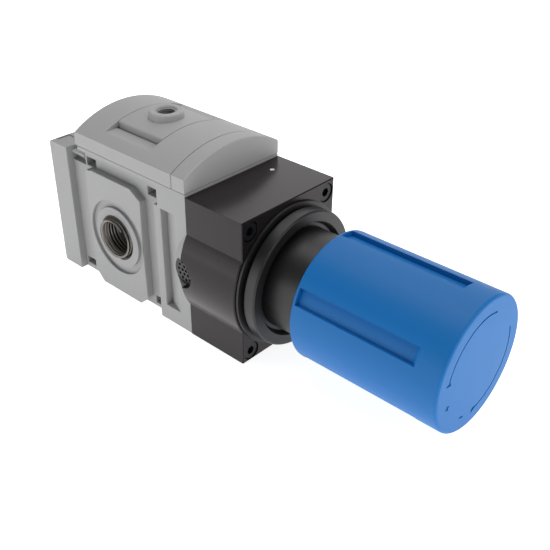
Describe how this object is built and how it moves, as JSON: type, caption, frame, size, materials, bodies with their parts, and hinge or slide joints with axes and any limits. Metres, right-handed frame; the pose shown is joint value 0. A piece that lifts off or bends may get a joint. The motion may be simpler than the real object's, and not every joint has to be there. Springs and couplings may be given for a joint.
{
  "type": "pressure regulator",
  "caption": "Modular precision pressure regulator: ported grey valve body with domed front cover, black bonnet with clamp ring, and a fluted blue setting knob on one axis.",
  "frame": {"origin": "on the flat back face, directly under the port axis, in the middle plane", "axes": "+X along the setting axis towards the knob, +Y along the flow axis, +Z out of the domed front cover"},
  "size_m": [0.2409, 0.073, 0.0953],
  "materials": {
    "body_paint": "light grey paint with a fine texture over die-cast aluminium",
    "cover_plastic": "grey moulded plastic, fine spark texture",
    "bonnet_anodised": "black anodised, satin",
    "black_plastic": "black moulded plastic, satin",
    "knob_blue": "blue moulded plastic, semi-matte",
    "spring_steel": "bright steel",
    "black_steel": "black oxide steel",
    "brass": "turned brass",
    "bare_aluminium": "machined aluminium",
    "seal_rubber": "black nitrile rubber",
    "white_plastic": "white plastic"
  },
  "bodies": {
    "housing": {"valve_body": "body_paint", "front_cover": "cover_plastic", "cover_end_band": "cover_plastic", "gauge_adapter_plate": "cover_plastic", "gauge_adapter_seal": "seal_rubber", "bottom_plug": "black_plastic", "plug_seal": "seal_rubber", "valve_seat": "brass", "poppet_spring": "spring_steel", "stem_guide": "brass", "stem_seal": "seal_rubber", "main_diaphragm": "seal_rubber", "joint_seal": "seal_rubber", "pilot_housing": "bare_aluminium", "pilot_nozzle": "brass", "pilot_diaphragm": "seal_rubber", "bonnet": "bonnet_anodised", "bleed_orifice": "white_plastic", "bonnet_screws": "black_steel", "exhaust_inserts": "black_plastic", "neck_sleeve": "black_plastic", "spacer_disc": "black_plastic", "clamp_ring": "black_plastic", "lock_ring": "black_plastic", "setting_spring": "spring_steel", "thrust_washer": "spring_steel"},
    "valve_train": {"valve_poppet": "brass", "poppet_seal": "seal_rubber", "valve_stem": "spring_steel", "diaphragm_plate_lower": "bare_aluminium", "diaphragm_plate_upper": "bare_aluminium", "diaphragm_nut": "spring_steel"},
    "pilot_stage": {"pilot_flapper": "spring_steel", "lower_spring_seat": "bare_aluminium", "pilot_nut": "spring_steel"},
    "setting_nut": {"spindle_nut": "brass"},
    "spindle": {"adjusting_spindle": "spring_steel", "detent_ring": "spring_steel", "knob_screw": "spring_steel"},
    "knob_body": {"knob": "knob_blue", "knob_hub": "black_plastic"}
  },
  "joints": [
    {"name": "knob_turn", "type": "hinge", "parent": "housing", "child": "spindle", "pos_m": [0.15, 0, 0.037], "axis": [-1, 0, 0], "range_deg": [0, 2070]},
    {"name": "knob_lock", "type": "slide", "parent": "spindle", "child": "knob_body", "axis": [-1, 0, 0], "range_m": [0, 0.004]},
    {"name": "nut_slide", "type": "slide", "parent": "housing", "child": "setting_nut", "axis": [-1, 0, 0], "range_m": [0, 0.01151], "deforming": ["setting_spring"]},
    {"name": "valve_lift", "type": "slide", "parent": "housing", "child": "valve_train", "axis": [-1, 0, 0], "range_m": [0, 0.002], "stiffness_N_per_m": 1500, "deforming": ["poppet_spring", "main_diaphragm"]},
    {"name": "pilot_lift", "type": "slide", "parent": "housing", "child": "pilot_stage", "axis": [-1, 0, 0], "range_m": [0, 0.00045], "stiffness_N_per_m": 3000, "deforming": ["pilot_diaphragm"]}
  ],
  "couplings": [
    {"joint": "nut_slide", "follows": "knob_turn", "m_per_rad": 0.00031831}
  ]
}
